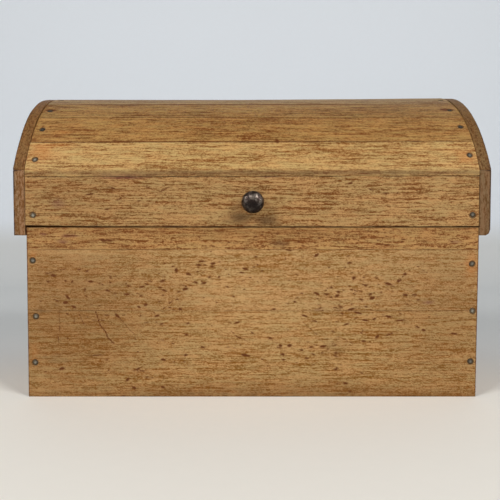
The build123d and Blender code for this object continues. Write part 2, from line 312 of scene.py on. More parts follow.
def fill(tree, node, inputs):
    """Joins or fills a node's inputs, given as a list in the node's own order or a dict by name or place."""
    for key, value in inputs.items() if isinstance(inputs, dict) else enumerate(inputs):
        if isinstance(value, bpy.types.NodeSocket):
            tree.links.new(value, node.inputs[key])
        else:
            node.inputs[key].default_value = value


def put(tree, kind, inputs=(), out=0, **options):
    """Adds a node, sets its options, fills its inputs and gives one of its outputs."""
    made = tree.nodes.new("ShaderNode" + kind)
    for option, value in options.items():
        setattr(made, option, value)
    fill(tree, made, inputs)
    return made.outputs[out]


def sums(tree, operation, *values):
    """A Math node."""
    return put(tree, "Math", values, operation=operation)


def centred(tree, value):
    """A value less a half."""
    return sums(tree, "SUBTRACT", value, 0.5)


def noise(tree, vector, stretch, detail=2.0, roughness=0.5, out=0):
    """Noise on a vector whose x, y and z are each multiplied by their own part of stretch, in turns a
    metre."""
    spread = put(tree, "VectorMath", [vector, stretch], operation="MULTIPLY")
    inputs = {"Vector": spread, "Scale": 1.0, "Detail": detail, "Roughness": roughness}
    return put(tree, "TexNoise", inputs, out=out)


def ramp(tree, value, low, high, start=0.0, end=1.0):
    """Runs smoothly from start to end as value goes from low to high."""
    return put(tree, "MapRange", [value, low, high, start, end], interpolation_type="SMOOTHSTEP")


def blended(tree, factor, first, second, kind="MIX"):
    """Mixes two colours by a factor."""
    factor_in, first_in, second_in, colour_out = 0, 6, 7, 2
    inputs = {factor_in: factor, first_in: first, second_in: second}
    return put(tree, "Mix", inputs, colour_out, data_type="RGBA", blend_type=kind)


def new_group(name, inputs, outputs):
    """An empty shader node group with named sockets. Gives the group, its inputs by name and its output
    node."""
    kinds = {"colour": "NodeSocketColor", "vector": "NodeSocketVector", "number": "NodeSocketFloat"}
    group = bpy.data.node_groups.new(name, "ShaderNodeTree")
    for way, sockets in (("INPUT", inputs), ("OUTPUT", outputs)):
        for socket, kind in sockets.items():
            group.interface.new_socket(socket, in_out=way, socket_type=kinds[kind])
    given = group.nodes.new("NodeGroupInput")
    result = group.nodes.new("NodeGroupOutput")
    return group, given.outputs, result.inputs


# Wander is in metres and Waves in turns a metre along the grain. The others are each layer's share of the
# tone.
usual_grain = {"Wander": 0.012, "Waves": 2.6, "Bands": 0.25, "Lines": 0.3, "Fibre": 0.5, "Dashes": 0.8,
               "Pores": 0.5, "Specks": 0.5, "Clouds": 0.35}


def make_oak_grain():
    """The grain of waxed oak, with x along it. Bands of early and late wood, thin dark lines, long fibre,
    short dashes and fine pores all wander across the board together, with dark specks among them. Slow
    clouds darken and lighten it, and a tint turns it a little warmer or cooler."""
    inputs = {"Vector": "vector", "Pale wood": "colour", "Dark wood": "colour",
              **dict.fromkeys(usual_grain, "number")}
    outputs = {"Color": "colour", "Height": "number"}
    tree, given, result = new_group("oak_grain", inputs, outputs)
    vector = given["Vector"]
    stretched = put(tree, "VectorMath", [vector, put(tree, "CombineXYZ", [given["Waves"], 14.0, 14.0])],
                    operation="MULTIPLY")
    slow = noise(tree, stretched, (1.0, 1.0, 1.0), 1.0)
    quick = noise(tree, vector, (14.0, 50.0, 50.0), 2.0)
    swing = sums(tree, "MULTIPLY", centred(tree, slow), given["Wander"])
    swing = sums(tree, "MULTIPLY_ADD", centred(tree, quick), sums(tree, "MULTIPLY", given["Wander"], 0.2),
                 swing)
    moved = put(tree, "CombineXYZ", [0.0, swing, sums(tree, "MULTIPLY", swing, 0.6)])
    bent = put(tree, "VectorMath", [vector, moved], operation="ADD")

    ridge = sums(tree, "ABSOLUTE", centred(tree, noise(tree, bent, (9.0, 230.0, 230.0), 1.0)))
    lines = sums(tree, "MAXIMUM", ramp(tree, ridge, 0.0, 0.08),
                 ramp(tree, noise(tree, vector, (12.0, 90.0, 90.0), 1.0), 0.26, 0.48, 1.0, 0.0))
    layers = {"Bands": ramp(tree, noise(tree, bent, (5.0, 210.0, 210.0), 2.0, 0.55), 0.32, 0.68),
              "Lines": lines,
              "Fibre": ramp(tree, noise(tree, bent, (26.0, 380.0, 380.0), 2.0, 0.6), 0.30, 0.70),
              "Dashes": ramp(tree, noise(tree, bent, (150.0, 430.0, 430.0), 3.0, 0.6), 0.36, 0.62),
              "Pores": ramp(tree, noise(tree, bent, (420.0, 900.0, 900.0), 2.0, 0.6), 0.38, 0.60),
              "Clouds": ramp(tree, noise(tree, vector, (6.0, 20.0, 20.0), 3.0, 0.55), 0.25, 0.75)}
    cells = tree.nodes.new("ShaderNodeTexVoronoi")
    spread = put(tree, "VectorMath", [bent, (95.0, 210.0, 210.0)], operation="MULTIPLY")
    fill(tree, cells, {"Vector": spread, "Scale": 1.0})
    chosen = ramp(tree, put(tree, "SeparateColor", [cells.outputs["Color"]]), 0.62, 0.72)
    crowd = ramp(tree, noise(tree, vector, (9.0, 22.0, 22.0), 1.0), 0.35, 0.6)
    speck = sums(tree, "MULTIPLY", sums(tree, "MULTIPLY", chosen, crowd),
                 ramp(tree, cells.outputs["Distance"], 0.12, 0.42, 1.0, 0.0))
    speck = sums(tree, "MULTIPLY", speck, given["Specks"])
    tone, height = 0.5, 0.0
    for name, layer in layers.items():
        tone = sums(tree, "MULTIPLY_ADD", centred(tree, layer), given[name], tone)
        if name != "Clouds":
            height = sums(tree, "MULTIPLY_ADD", layer, given[name], height)
    tone = put(tree, "Clamp", [sums(tree, "SUBTRACT", tone, speck)])
    colour = blended(tree, tone, given["Dark wood"], given["Pale wood"])
    tint = ramp(tree, noise(tree, vector, (34.0, 150.0, 150.0), 2.0), 0.32, 0.68)
    tint = blended(tree, tint, (1.05, 0.98, 0.96, 1.0), (0.96, 1.01, 1.03, 1.0))
    tree.links.new(blended(tree, 1.0, colour, tint, "MULTIPLY"), result["Color"])
    tree.links.new(sums(tree, "SUBTRACT", height, speck), result["Height"])
    return tree


def make_old_surface():
    """What a long life leaves on a board, and some painted shade: sapwood and other places left pale,
    broad darker places, stains of rust and wine, smoke stains and painted shade and shadow in one layer,
    dark ends, grimy arrises, dark marks in the wood, and dirt round the nails. Each is a layer on the
    board's points, broken up by noise."""
    inputs = {"Vector": "vector", "Color": "colour", "Height": "number", "Grime": "number"}
    outputs = {"Color": "colour", "Height": "number", "Roughness": "number"}
    tree, given, result = new_group("old_surface", inputs, outputs)
    layer = {name: put(tree, "Attribute", out="Fac", attribute_name=name)
             for name in ("edge", "end", "pit", "mark", "pale", "darkening", "wine", "rust", "smoke_and_shade")}
    rough = noise(tree, given["Vector"], (420.0, 420.0, 420.0), 3.0, 0.6)
    patch = noise(tree, given["Vector"], (38.0, 38.0, 38.0), 2.0)
    soft = noise(tree, given["Vector"], (90.0, 160.0, 160.0), 3.0, 0.6)

    def broken(name, low, high, grain=0.5, by=rough):
        """A layer, raised and lowered by noise, then sharpened."""
        uneven = sums(tree, "MULTIPLY_ADD", centred(tree, by), grain, layer[name])
        return sums(tree, "MULTIPLY", ramp(tree, uneven, low, high), ramp(tree, layer[name], 0.0, 0.08))

    colour = given["Color"]
    # Each layer blends its share of a colour into the wood. smoke_and_shade is one dark brown, used both for
    # smoke stains and for painted shade and shadow.
    for name, share, stain in (("pale", 0.42, paint(226, 182, 122)), ("darkening", 0.50, paint(112, 67, 20)),
                               ("rust", 0.38, paint(190, 112, 48)), ("wine", 0.60, paint(112, 62, 54)),
                               ("smoke_and_shade", 0.60, paint(84, 57, 32))):
        there = sums(tree, "MULTIPLY", broken(name, 0.05, 0.95, 0.7, soft), share)
        colour = blended(tree, there, colour, stain)
    colour = blended(tree, sums(tree, "MULTIPLY", layer["end"], 0.3), colour, paint(104, 70, 42))
    edge = sums(tree, "MULTIPLY", broken("edge", 0.25, 0.95, 0.8), given["Grime"])
    colour = blended(tree, sums(tree, "MULTIPLY", edge, ramp(tree, patch, 0.25, 0.65)), colour,
                     paint(66, 42, 24))
    mark = broken("mark", 0.12, 0.74, 0.9)
    colour = blended(tree, mark, colour, paint(98, 49, 4))
    pit = broken("pit", 0.25, 0.8, 0.5)
    colour = blended(tree, sums(tree, "MULTIPLY", pit, 0.65), colour, paint(84, 64, 42))
    tree.links.new(colour, result["Color"])
    height = sums(tree, "MULTIPLY_ADD", mark, -0.35, given["Height"])
    height = sums(tree, "MULTIPLY_ADD", rough, 0.12, height)
    tree.links.new(height, result["Height"])
    shine = sums(tree, "MULTIPLY_ADD", rough, 0.16, 0.44)
    shine = sums(tree, "MULTIPLY_ADD", sums(tree, "MAXIMUM", layer["end"], pit), 0.25, shine)
    tree.links.new(shine, result["Roughness"])
    return tree


oak_grain = make_oak_grain()
old_surface = make_old_surface()


def use(tree, group, inputs):
    """Places a node group with its own values, and gives its outputs."""
    made = tree.nodes.new("ShaderNodeGroup")
    made.node_tree = group
    fill(tree, made, inputs)
    return made.outputs


def new_material(name):
    """A material, its node tree, its Principled shader and the Object coordinates."""
    material = bpy.data.materials.new(name)
    material.use_nodes = True
    tree = material.node_tree
    return material, tree, tree.nodes["Principled BSDF"], put(tree, "TexCoord", out="Object")


def coat(tree, shader, colour, roughness, height, strength, distance):
    """Joins a colour, a roughness and a bump to the shader. The bump raises a height of one by distance."""
    bump = put(tree, "Bump", {"Height": height, "Strength": strength, "Distance": distance})
    fill(tree, shader, {"Base Color": colour, "Roughness": roughness, "Normal": bump})


wood_middle, wood_spread = np.array([0.98, 1.0, 1.075, 1.0]), np.array([0.38, 0.56, 0.975, 0.0])
along_x, standing, standing_end = (0.0, 0.0, 0.0), (radians(90), 0, 0), (radians(90), 0, radians(90))


def oak(name, colour, turn=along_x, seed=1, ridges=0.0003, grime=0.6, contrast=1.0, **changed):
    """An oak board's material, about a mean colour: paler and darker than it by contrast times wood_spread.
    Turn stands the board's grain along the pattern's x, each seed cuts the board from another place in the
    tree, and changed names the parts of usual_grain that are another number here."""
    material, tree, shader, place = new_material(name)
    rng = np.random.default_rng(seed)
    shift = tuple(rng.uniform(-3.0, 3.0, 3))
    grain_space = put(tree, "Mapping", {"Vector": place, "Location": shift, "Rotation": turn})
    pale = colour * (wood_middle + contrast * wood_spread)
    dark = colour * np.maximum(wood_middle - contrast * wood_spread, 0.03)
    parts = usual_grain | {part.title(): value for part, value in changed.items()}
    wood = use(tree, oak_grain, {"Vector": grain_space, "Pale wood": tuple(pale), "Dark wood": tuple(dark),
                                 **parts})
    aged = use(tree, old_surface, {"Vector": place, "Color": wood["Color"], "Height": wood["Height"],
                                   "Grime": grime})
    coat(tree, shader, aged["Color"], aged["Roughness"], aged["Height"], 1.0, ridges)
    shader.inputs["Specular IOR Level"].default_value = 0.22
    return material


def finish_piece(piece, body, slot, material, *nodes):
    """Gives a piece its material and its body, and hides the CAD nodes that it stands for. slot is not used.
    """
    piece.data.materials.append(material)
    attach(piece, body)
    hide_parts(*nodes)
    return piece


rebate_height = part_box("bottom_board_front")[1].z
rebate_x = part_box("bottom_board_front")[1].x
half_depth = -front_face
base_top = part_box("front_board_top")[1].z
lean = 0.0017


def upright(y_face, y_back, low, high):
    """The face and the back of an upright board, as points across its grain: its place along the thickness,
    and its height."""
    heights = np.linspace(low, high, 400)
    face = np.stack([np.full(len(heights), y_face), heights], axis=1)
    return face, np.array([[y_back, high], [y_back, low]])


def leaning(grid):
    """Leans the right front corner out at its top. The lean dies away evenly to the foot, to the middle of
    the width and to the back."""
    x, y, z = grid[..., 0], grid[..., 1], grid[..., 2]
    share = np.clip(x / half_width, 0, 1) * np.clip(0.5 - y / (2 * half_depth), 0, 1) * z / base_top
    return np.stack([x + lean * share, y, z], axis=-1)


def rebated(grid):
    """Draws a wall's foot back by half its thickness, below the top of the bottom boards that lie in the
    rebate, and then leans it."""
    x, y, z = grid[..., 0], grid[..., 1], grid[..., 2]
    low = (z < rebate_height) & (np.abs(x) < rebate_x)
    outer = np.sign(y) * half_depth
    return leaning(np.stack([x, np.where(low, (y + outer) / 2, y), z], axis=-1))


def carried(nails, shape):
    """Nails moved along with the boards that they hold."""
    return np.stack([shape(nails[:, 0]), nails[:, 1]], axis=1)


front_nails = crowns("base_front_nails", reach_along(1, -1))

# Marks are in millimetres, x and z of their middles. Rays are oak's own, and nicks lie along the corners.
rays = (streak([(-257, 115), (-257, 97), (-260, 72)], 1.6, 0.7) + streak([(-239, 112), (-237, 98)], 1.6, 0.62)
        + streak([(-231, 111), (-225, 98)], 1.7, 0.75)
        + streak([(-274, 165), (-260, 170), (-248, 172)], 1.5, 0.8)
        + streak([(-209, 115), (-203, 96), (-196, 88), (-193, 80), (-185, 72)], 1.9, 0.95)
        + streak([(-185, 116), (-176, 105), (-167, 94), (-158, 85), (-156, 77)], 1.5, 0.65)
        + streak([(-28, 89), (-20, 81), (-11, 77), (-5, 74)], 1.5, 0.7)
        + streak([(-38, 104), (-26, 98)], 1.3, 0.6)
        + streak([(66, 102), (82, 88)], 1.5, 0.6) + streak([(89, 76), (116, 81), (134, 72)], 1.5, 0.62))
level = [
    (-265, 163), (-230, 171), (-220, 169), (-272, 155), (-249, 156), (-215, 155), (-147, 148), (-183, 139),
    (-249, 127), (-215, 124), (-148, 136), (-167, 138), (-142, 124), (-118, 162), (-119, 156), (-123, 147),
    (-117, 143), (-85, 165), (-93, 150), (-89, 145), (-98, 141), (-76, 154), (-124, 128), (-100, 131),
    (-96, 118), (-127, 109), (-194, 110), (-211, 103), (-141, 100), (-121, 98), (-86, 99), (-106, 72),
    (-88, 84), (-255, 38), (-89, 56), (-91, 47), (-119, 50), (-141, 26), (-158, 12), (-120, 13), (-52, 179),
    (-71, 177), (-57, 161), (-14, 167), (13, 169), (-9, 172), (24, 157), (-64, 153), (-75, 154), (-33, 148),
    (129, 180), (105, 147), (86, 139), (99, 138), (105, 134), (115, 141), (129, 149), (132, 144),
    (113, 136), (60, 133), (57, 128), (47, 126), (89, 124), (118, 121), (120, 112), (133, 125), (70, 109),
    (84, 102), (85, 85), (108, 88), (29, 118), (203, 165), (146, 156), (135, 160), (165, 160), (151, 150),
    (157, 138), (145, 131), (204, 137), (206, 125), (212, 124), (214, 148), (152, 121), (151, 103),
    (126, 98), (146, 86), (149, 75), (229, 90), (221, 94), (278, 178), (-20, 100), (24, 79), (41, 57),
    (42, 50), (38, 69), (50, 69), (66, 63), (73, 52), (112, 59), (112, 55), (112, 37), (-66, 67), (-32, 67),
    (147, 32), (115, 18), (125, 18), (131, 7)]
high_up = [
    (-43, 200), (-31, 200), (-61, 200), (-52, 202), (-23, 206), (-31, 207), (5, 215), (14, 203), (54, 226),
    (87, 219), (91, 213), (61, 207), (64, 199), (49, 197), (125, 216), (136, 211), (166, 210), (200, 211)]
rising = [(-240, 155), (-247, 79), (-109, 127), (-167, 23), (-44, 161), (5, 188), (85, 190), (227, 169),
    (195, 156), (217, 137), (167, 81)]
falling = [(-273, 166), (-200, 151), (-193, 143), (-165, 149), (-246, 134), (-260, 129), (-238, 121),
    (-151, 121), (-180, 109), (0, 86)]
steep = [(-223, 144), (-278, 138), (-189, 161), (-101, 170), (-149, 109), (44, 186)]
strong = [(-67, 182), (132, 118), (141, 113), (160, 133), (163, 105), (270, 85), (-9, 56), (79, 67), (95, 68),
          (-154, 37), (-198, 210), (-190, 210), (181, 152), (182, 108)]
small = (swarm(122, 134, 42, 30, 110, 11) + swarm(-165, 138, 62, 24, 70, 12) + swarm(-55, 165, 34, 14, 36, 13)
         + swarm(70, 212, 120, 9, 80, 14) + swarm(70, 60, 60, 13, 30, 15) + swarm(205, 140, 26, 30, 34, 16)
         + swarm(-140, 40, 60, 18, 26, 17))
rng = np.random.default_rng(9)
corner, nick_width = 299.9, 2.2
nicks = [(side * corner, z, rng.uniform(3, 8), nick_width, 90, rng.uniform(0.6, 1.5))
         for side in (-1, 1) for z in rng.uniform(4, 224, 26)]
long_marks = [(198, 103, 14, 2.2, 6, 1.0), (183, 84, 13, 2.2, 22, 1.0), (-207, 56, 20, 1.9, 3, 0.8),
              (173, 204, 32, 1.6, 1, 0.9), (-242, 216, 22, 2.4, 1, 0.9), (-148, 35, 14, 2.0, -6, 0.9)]
front_marks = (nicks + flecks(small, 0, 4.6, 2.0, 0.75, seed=8) + flecks(level, 0, seed=1)
               + flecks(high_up, 0, 8.0, 1.8, 0.9, seed=2) + flecks(rising, 35, seed=3)
               + flecks(falling, -30, seed=4) + flecks(steep, 76, seed=5)
               + flecks(strong, 8, 9.5, 3.0, 1.3, seed=6) + long_marks + rays)
# The broad darkening spots make the front darker towards its ends, along its top and along its foot, and the
# broad pale spots make its middle paler. A smoke_and_shade band darkens the foot as well.
front_stains = {"mark": front_marks,
                "pale": [(-250, 194.5, 260, 9, 0, 0.8), (-60, 194.5, 340, 8, 0, 0.6),
                         (180, 194, 300, 6, 0, 0.3), (-20, 130, 200, 150, 0, 0.35), (0, 70, 200, 90, 0, 0.22)],
                "darkening": [(-250, 110, 330, 300, 0, 0.8), (270, 110, 260, 300, 0, 0.6),
                        (0, 226, 1400, 56, 0, 0.6), (0, -8, 1400, 64, 0, 0.95)],
                "wine": [(-242, 216, 26, 5, 0, 1.0), (-278, 218, 12, 5, 0, 0.7), (-252, 208, 18, 5, 0, 0.8),
                         (235, 127, 16, 6, 0, 0.8), (269, 208, 18, 5, 0, 0.8), (87, 117, 14, 6, 0, 0.6)],
                "rust": [(291, 176, 18, 34, 0, 0.9), (-292, 60, 14, 40, 0, 0.5), (-292, 190, 12, 14, 0, 0.7)],
                "smoke_and_shade": [(-300, 113, 900, 1.8, 90, 1.6), (300, 113, 900, 1.9, 90, 1.7),
                          (37, 205, 26, 12, 0, 0.8), (0, 0, 700, 16, 0, 0.35), (-285, 116, 60, 9, 0, 0.4),
                          (-262, 52, 60, 22, 0, 0.35), (112, 66, 50, 28, 0, 0.4),
                          (110, 120, 70, 30, 0, 0.25)]}

# Colour, wander, waves, lines, fibre, contrast and seed of each board
front_colours = {"front_board_bottom": (paint(163, 121, 67), 0.006, 2.0, 0.5, 0.55, 1.0, 11),
                 "front_board_middle": (paint(163, 121, 68), 0.008, 2.0, 0.35, 0.5, 1.0, 12),
                 "front_board_top": (paint(157, 112, 57), 0.026, 7.0, 0.65, 0.8, 1.3, 13)}
for name, (colour, wander, waves, lines, fibre, contrast, seed) in front_colours.items():
    low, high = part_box(name)
    face, back = upright(front_face, front_face + wall, low.z, high.z)
    shape = rebated if low.z < rebate_height else leaning
    board = plank(name + "_oak", face, back, (-half_width, half_width), front_nails, 0.00134, arris=0.0004,
                  seed=seed, shape=shape, **front_stains)
    grain = oak(name + "_oak", colour, standing, seed, grime=0.25, contrast=contrast, wander=wander,
                waves=waves, lines=lines, fibre=fibre, dashes=0.6, pores=0.7, bands=0.15, clouds=0.25)
    finish_piece(board, "base", "oak_case", grain, name)


# The back of the base is two boards. The upper one is cut for the hinges, so it keeps its own shape.
back_nails = crowns("base_back_nails", reach_along(1, 1))
low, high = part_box("back_board_bottom")
face, back = upright(half_depth, half_depth - wall, low.z, high.z)
board = plank("back_board_bottom_oak", face, back, (-half_width, half_width), back_nails, 0.008, seed=14,
              shape=rebated)
back_colour = paint(154, 112, 68)
finish_piece(board, "base", "oak_case", oak("back_board_bottom_oak", back_colour, standing, 14),
             "back_board_bottom")


def dress(name, material):
    """Gives a CAD node that keeps its shape its material."""
    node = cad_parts[name]
    node.data.materials.clear()
    node.data.materials.append(material)


dress("back_board_top", oak("back_board_top_oak", back_colour, standing, 15))


# The ends of the base are two boards each, held between the front and the back, with their grain from front
# to back.
end_colour = paint(150, 109, 66)


def rebated_end(grid):
    """Draws an end board's foot back to the rebate, and then leans it."""
    x, y, z = grid[..., 0], grid[..., 1], grid[..., 2]
    foot_x = np.where(z < rebate_height, (x + np.sign(x) * half_width) / 2, x)
    return leaning(np.stack([foot_x, y, z], axis=-1))


for side, sign in (("left", -1), ("right", 1)):
    for level in ("bottom", "top"):
        name = f"{side}_end_board_{level}"
        low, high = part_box(name)
        face, back = upright(sign * half_width, sign * (half_width - wall), low.z, high.z)
        seed = 20 + 2 * sign + (level == "top")
        board = plank(name + "_oak", face, back, (low.y, high.y), spacing=0.010, seed=seed, along="y",
                      shape=rebated_end if level == "bottom" else leaning)
        grain = oak(name + "_oak", end_colour, standing_end, seed)
        finish_piece(board, "base", "oak_case", grain, name)


# The bottom is three thin boards, nailed up into a rebate that runs round the foot of the walls.
for number, name in enumerate(("bottom_board_front", "bottom_board_middle", "bottom_board_back")):
    dress(name, oak(name + "_oak", paint(156, 118, 76), seed=31 + number))


# The lid's front is one upright board, weathered into ridges by its coarse grain. Its lower edge is worn up
# a little towards the left corner, where hands have lifted it.
front_board_low, front_board_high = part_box("lid_front_board")
lid_half = front_board_high.x
lid_rim = front_board_low.z
joint_rise, left_lift, right_lift, inner_fall = 0.0013, 0.0021, 0.0005, 0.0009
edge_width, lift_length = 0.03, 0.06


def taper(x):
    """How far the joint over the board rises, evenly from nothing at the left to joint_rise at the right."""
    return joint_rise * np.clip(0.5 + 0.5 * x / lid_half, 0, 1)


def worn_rim(grid):
    """Lifts the board's lower edge towards its corners, most at the left, dying away along the board. The
    edge was planed out of square, so it falls by inner_fall towards the inside and meets the base there.
    The top edge rises to the right. All come to nothing edge_width from their edge."""
    x, y, z = grid[..., 0], grid[..., 1], grid[..., 2]
    z = z + taper(x) * np.clip(1 - (front_board_high.z - z) / edge_width, 0, 1)
    lift = left_lift * np.exp(-(x + lid_half) / lift_length)
    lift = lift + right_lift * np.exp(-(lid_half - x) / lift_length)
    flat_part = 0.002
    depth = np.clip((y - front_face - flat_part) / (wall - 2 * flat_part), 0, 1)
    share = np.clip(1 - (z - lid_rim) / edge_width, 0, 1)
    return np.stack([x, y, z + (lift * (1 - depth) - inner_fall * depth) * share], axis=-1)


def lid_reach(points):
    """Reach out from the lid: from its upright front and back below where the arch springs, and along the
    arch's radius above it."""
    y, z = points[:, 1], points[:, 2]
    radius = np.hypot(y, z - arch_z)
    upright_part = z < springing
    far = np.where(upright_part, np.abs(y) - half_depth, radius - arch_radius)
    way = np.stack([np.zeros(len(y)), y / radius, (z - arch_z) / radius], axis=1)
    way[upright_part] = np.stack([np.zeros(len(y)), np.sign(y), np.zeros(len(y))], axis=1)[upright_part]
    return far, way


# The arch is the circle through the lid's springing at the front and its crown.
springing = 0.303
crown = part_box("stave_5")[1].z
rise = crown - springing
arch_radius = (half_depth**2 + rise**2) / (2 * rise)
arch_z = crown - arch_radius
stave_edge = 0.013

lid_front_nails = crowns("lid_front_nails", lid_reach)
lid_back_nails = crowns("lid_back_nails", lid_reach)
face, back = upright(front_face, front_face + wall, lid_rim, front_board_high.z)
lid_level = [(-190, 280), (-185, 279), (-139, 280), (-91, 276), (-215, 271), (-204, 259), (-193, 251),
    (-151, 262), (-110, 245), (-168, 239), (130, 285), (157, 277), (177, 272), (193, 272)]
long_marks = [(-176, 265, 11, 2.2, 35, 1.0), (-117, 277, 19, 2.0, 28, 1.0)]
# The first two smoke_and_shade spots, to the lower left and lower right of the knob, are its painted shadow;
# the two bands along the rim darken it there. The broad darkening spot makes the board darker towards its left
# end.
lid_stains_and_shadow = {"mark": flecks(lid_level, 5, 8.0, 2.0, seed=7) + long_marks,
              "wine": [(-258, 259, 22, 14, 0, 0.7), (-170, 293, 70, 5, 0, 0.9), (20, 293, 40, 4, 0, 0.5)],
              "darkening": [(-260, 262, 260, 120, 0, 0.45)],
              "smoke_and_shade": [(-16, 240, 44, 18, 0, 0.8), (18, 236, 34, 15, 0, 0.9), (0, 230, 110, 8, 0, 0.4),
                        (-120, 230, 260, 6, 0, 0.4)]}
board = plank("lid_front_board_oak", face, back, (-lid_half, lid_half), lid_front_nails, 0.0014, seed=41,
              shape=worn_rim, **lid_stains_and_shadow)
grain = oak("lid_front_board_oak", paint(155, 113, 60), standing, 41, 0.0005, 0.9, 1.25, wander=0.018,
            bands=0.15, lines=0.55, fibre=0.7, dashes=0.6, pores=0.6, specks=0.2, clouds=0.25)
finish_piece(board, "lid", "oak_lid", grain, "lid_front_board")
dress("lid_back_board", oak("lid_back_board_oak", back_colour, standing, 42))


# Nine staves go over the arch from the front to the back, each rounded outside and flat inside, and nailed
# at both ends. The two lowest have an upright foot.
def on_arch(angle, radius):
    """Points of the lid's section at angles up from the front, at a distance from the arch's middle."""
    return np.stack([-radius * np.cos(angle), arch_z + radius * np.sin(angle)], axis=-1)


def joint_above(name):
    """The angle up from the front of the joint over a stave, from its highest point outside."""
    points = node_points(name)
    return np.arctan2(points[:, 2] - arch_z, -points[:, 1]).max()


spring_angle = atan2(springing - arch_z, half_depth)
joints = [joint_above(f"stave_{number}") for number in range(1, 9)]
# Colours of the staves set one by one; the rest share one. The lowest stave is painted lighter and the two
# above it darker, partly their own tone and partly painted light and shade for how the lamps fall on the arch.
stave_tones_and_shade = {1: (164, 123, 65), 2: (146, 103, 48), 3: (138, 99, 47), 4: (141, 108, 61)}


# The arch was planed round by eye and its staves taper. The rows are for the lid's left end, its middle and
# its right end. Each has a value for the springing, the four joints above it and the crown: how far the
# arch stands out of the true circle there, and how many degrees its joints are turned up the arch.
off_circle = [[0.0, -0.0008, 0.0004, 0.0010, -0.0021, -0.0031],
              [0.0, -0.0018, -0.0016, -0.0012, -0.0018, -0.0015],
              [0.0, -0.0027, -0.0036, -0.0034, 0.0012, 0.0003]]
joint_turn = [[0.0, -0.6, -1.2, -1.5, -0.5, 0.0],
              [0.0, -0.1, 0.0, 0.8, 0.2, 0.0],
              [0.0, 0.4, 1.2, 3.3, 0.9, 0.0]]


def between(angle, x, rows):
    """A value that goes evenly from joint to joint up the arch and from row to row along the lid. The back
    is as the front."""
    places = [spring_angle, *joints[:4], pi / 2]
    left, middle, right = (np.interp(np.minimum(angle, pi - angle), places, row) for row in rows)
    along = np.clip(x / lid_half, -1, 1)
    return middle + np.maximum(along, 0) * (right - middle) + np.maximum(-along, 0) * (left - middle)


def planed(grid):
    """Moves a stave's rounded face out along the arch's radius by off_circle and turns it up the arch by
    joint_turn, both coming to nothing at the inner edges of its joints, and lifts the front stave's foot with
    the board below. The back turns the same way as the front."""
    x, y, z = grid[..., 0], grid[..., 1], grid[..., 2]
    radius, angle = np.hypot(y, z - arch_z), np.arctan2(z - arch_z, -y)
    share = np.clip(1 - (arch_radius - radius) / stave_edge, 0, 1)
    radius = radius + between(angle, x, off_circle) * share
    angle = angle + np.radians(between(angle, x, joint_turn)) * share
    foot = (y < 0) * np.clip((springing - z) / (springing - front_board_high.z), 0, 1)
    height = arch_z + radius * np.sin(angle) + taper(x) * foot
    return np.stack([x, -radius * np.cos(angle), height], axis=-1)


def stave_section(number):
    """The face and the back of a stave. Its edges point at the arch's middle, and the lowest ones stand on a
    board's top with an upright foot."""
    start = joints[number - 2] if number > 1 else spring_angle
    end = joints[number - 1] if number < 9 else pi - spring_angle
    face = on_arch(np.linspace(start, end, 400), arch_radius)
    inner = arch_radius - stave_edge
    back = [on_arch(end, inner), on_arch(start, inner)]
    if number in (1, 9):
        y = -half_depth if number == 1 else half_depth
        foot_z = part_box(f"stave_{number}")[0].z
        foot = np.stack([np.full(40, y), np.linspace(foot_z, springing, 40, endpoint=False)], axis=1)
        foot_back = np.array([y - np.sign(y) * wall, foot_z])
        face = np.concatenate([foot, face]) if number == 1 else np.concatenate([face, foot[::-1]])
        back = [back[0], foot_back] if number == 1 else [foot_back, back[1]]
    return face, np.array(back)


# The first smoke_and_shade band is painted shade along the upright feet of the lowest staves, darker than the
# rounded faces above them; the second darkens the joints above them.
stave_stains_and_shade = {"mark": [(-290, 398, 15, 4.2, 0, 1.3), (285, 398, 19, 4.6, 0, 1.4), (34, 346, 7, 4, 60, 1.3),
                         (-186, 348, 6, 3, 40, 1.0), (70, 345.5, 420, 1.5, 0, 0.55),
                         (-150, 345.4, 360, 1.9, 0, 0.9),
                         (0, 384.6, 700, 1.3, 0, 0.5), (-40, 409.6, 620, 1.9, 0, 0.9)],
                "rust": [(-284, 330, 36, 30, 0, 1.0), (-270, 340, 60, 7, 0, 0.9), (286, 322, 30, 22, 0, 0.9),
                         (-262, 361, 40, 8, 0, 0.6)],
                "smoke_and_shade": [(40, 299, 1000, 9, 0, 1.0), (40, 345, 500, 5, 0, 0.4)],
                "wine": [(-170, 296, 90, 4, 0, 0.8)]}
for number in range(1, 10):
    name = f"stave_{number}"
    face, back = stave_section(number)
    nails = lid_front_nails if number < 5 else lid_back_nails
    spacing = 0.003 if number < 5 else 0.007
    board = plank(name + "_oak", face, back, (-lid_half, lid_half), nails, spacing, seed=50 + number,
                  shape=planed, **stave_stains_and_shade)
    middle = face.mean(0)
    slope = atan2(middle[1] - arch_z, -middle[0])
    colour = paint(*stave_tones_and_shade.get(number, (144, 106, 66)))
    grain = oak(name + "_oak", colour, (radians(90) - slope, 0, 0), 50 + number, contrast=1.3, bands=0.2,
                fibre=0.65, dashes=0.45, lines=0.35, specks=0.15, clouds=0.3)
    finish_piece(board, "lid", "oak_lid", grain, name)


# Inside the lips, each end of the lid is two boards that the staves are nailed to.
for side in ("left", "right"):
    for level in ("bottom", "top"):
        name = f"{side}_lid_end_{level}"
        seed = 70 + 2 * (side == "left") + (level == "top")
        dress(name, oak(name + "_oak", end_colour, standing_end, seed))


# A lip covers each end of the lid and hangs past the rim. It is two boards with their grain from front to
# back, the upper one sawn to the arch.
lip_outer, lip_depth, lip_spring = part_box("right_lip_bottom")[1]
lip_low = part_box("right_lip_bottom")[0].z
lip_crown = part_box("right_lip_top")[1].z
lip_radius = lip_crown - arch_z
lip_off_left = [0.0, -0.0008, 0.0019, 0.0010, -0.0038, -0.0044]
lip_off_right = [0.0, -0.0027, -0.0036, -0.0028, -0.0006, -0.0003]
lip_off_circle = [lip_off_left, lip_off_left, lip_off_right]


